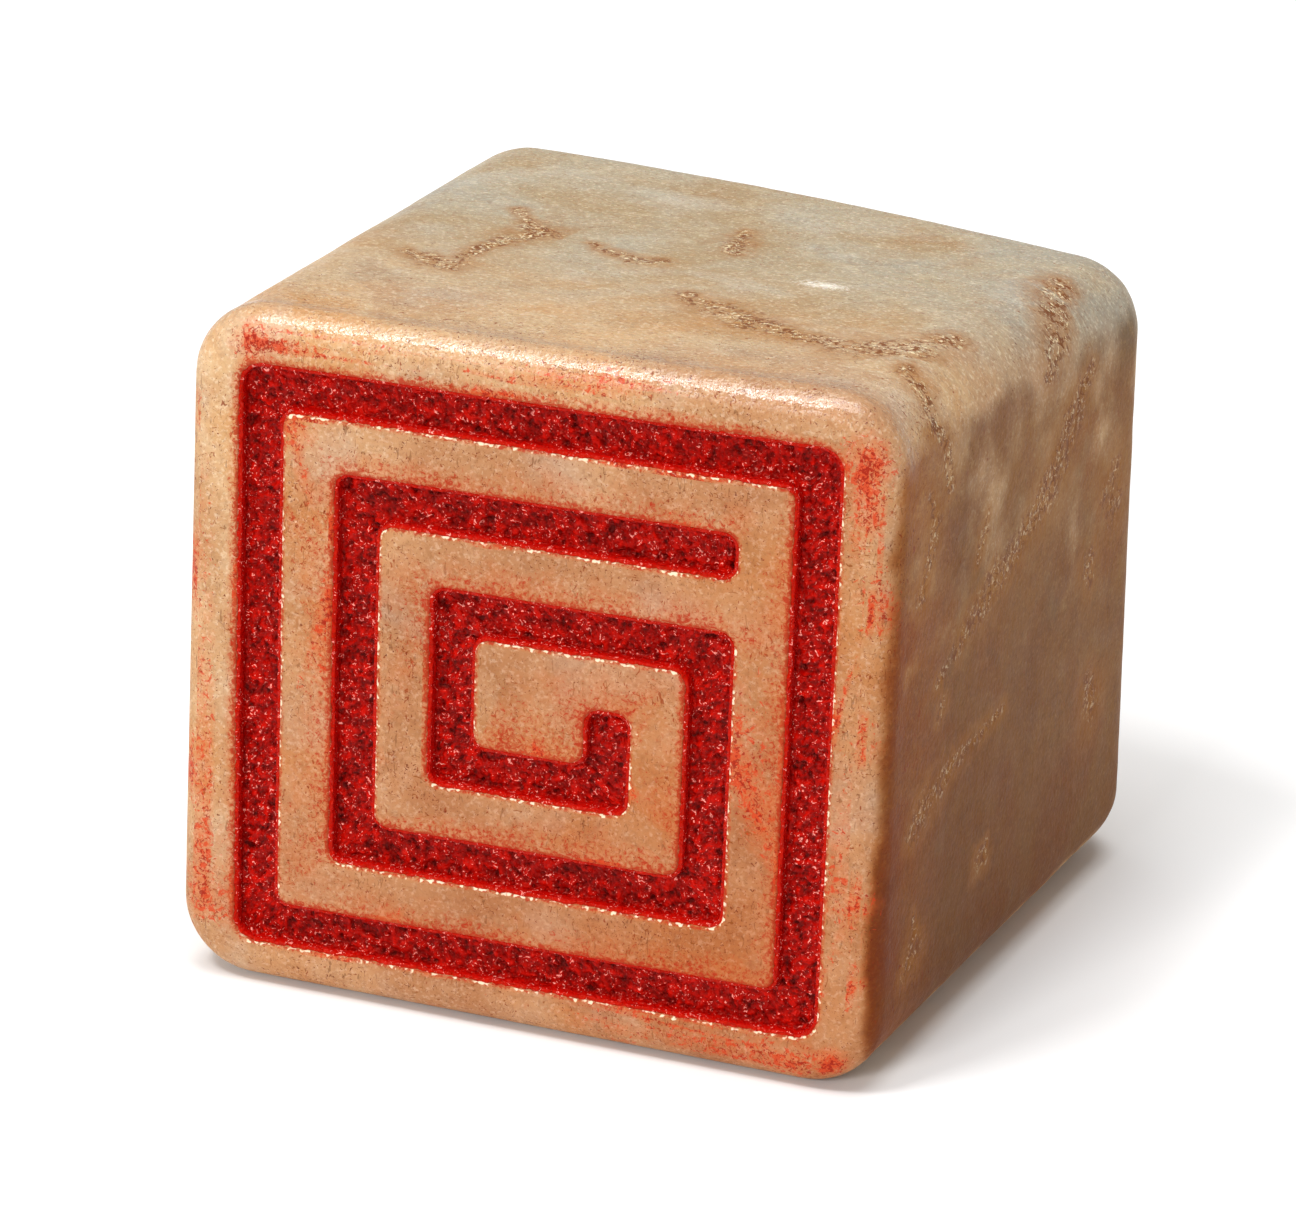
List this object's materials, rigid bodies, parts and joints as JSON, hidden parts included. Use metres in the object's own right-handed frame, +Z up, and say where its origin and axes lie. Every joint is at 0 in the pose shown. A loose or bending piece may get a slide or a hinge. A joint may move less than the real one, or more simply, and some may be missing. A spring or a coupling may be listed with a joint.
{
  "type": "seal stamp",
  "caption": "Soapstone seal block on its side, its upright stamping face cut with a square border and a square-spiral fret lined with red seal paste.",
  "frame": {"origin": "on the surface that the stone rests on, under the middle of its box", "axes": "+Z up from the side that the stone rests on, +Y back along the stone, -Y out of the carved stamping face, +X to the right of someone who looks at that face"},
  "size_m": [0.0274, 0.0296, 0.0245],
  "materials": {
    "soapstone": "hand-rubbed and waxed, satin",
    "seal_paste": "dried oily paste, glossy on a chiselled ground"
  },
  "bodies": {
    "root": {"stone_block": "soapstone", "border_paste": "seal_paste", "fret_paste": "seal_paste"}
  },
  "joints": []
}
